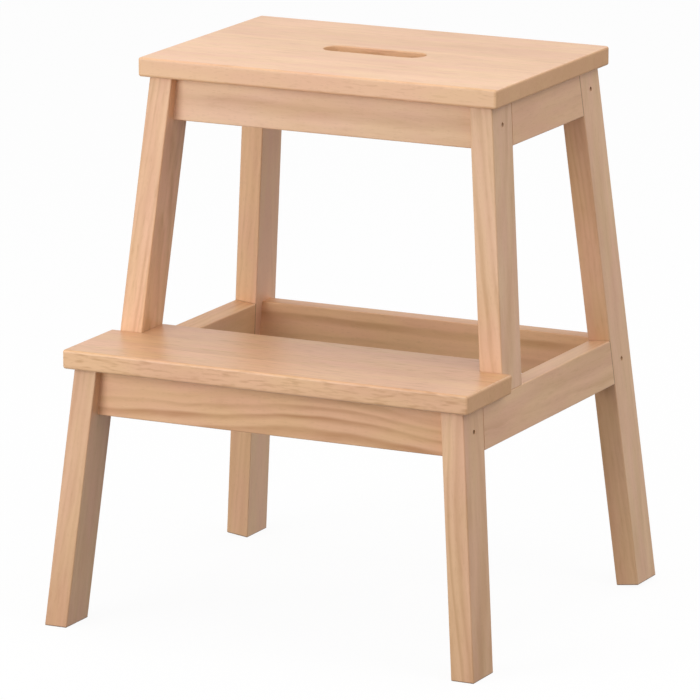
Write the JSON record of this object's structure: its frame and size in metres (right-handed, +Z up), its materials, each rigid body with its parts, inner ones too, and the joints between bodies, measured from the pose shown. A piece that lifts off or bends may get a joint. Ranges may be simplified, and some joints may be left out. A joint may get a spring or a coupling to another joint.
{
  "type": "step stool",
  "caption": "Rigid wooden step stool with splayed side frames, cross rails, a notched lower tread and a hand slot in the top tread.",
  "frame": {"origin": "on the floor, in the middle of the four feet", "axes": "+Z up, +Y to the back, +X to the right as seen from the front"},
  "size_m": [0.4248, 0.3917, 0.5],
  "materials": {
    "tread_wood": "clear matt lacquer, grain along X",
    "leg_wood": "clear matt lacquer, grain along the leg",
    "side_rail_wood": "clear matt lacquer, grain along Y",
    "cross_rail_wood": "clear matt lacquer, grain along X",
    "dowel_wood": "raw beech",
    "screw_steel": "dull zinc"
  },
  "bodies": {
    "root": {"top_tread": "tread_wood", "lower_tread": "tread_wood", "rear_leg_left": "leg_wood", "rear_leg_right": "leg_wood", "upper_front_leg_left": "leg_wood", "upper_front_leg_right": "leg_wood", "lower_front_leg_left": "leg_wood", "lower_front_leg_right": "leg_wood", "upper_side_rail_left": "side_rail_wood", "upper_side_rail_right": "side_rail_wood", "lower_side_rail_left": "side_rail_wood", "lower_side_rail_right": "side_rail_wood", "upper_front_rail": "cross_rail_wood", "upper_rear_rail": "cross_rail_wood", "lower_front_rail": "cross_rail_wood", "lower_rear_rail": "cross_rail_wood", "upper_side_dowels": "dowel_wood", "lower_side_dowels": "dowel_wood", "post_dowels": "dowel_wood", "lower_tread_dowels": "dowel_wood", "upper_cross_dowels": "dowel_wood", "lower_cross_dowels": "dowel_wood", "upper_rail_screws": "screw_steel", "lower_rail_screws": "screw_steel", "top_tread_screws": "screw_steel", "lower_tread_screws": "screw_steel"}
  },
  "joints": []
}
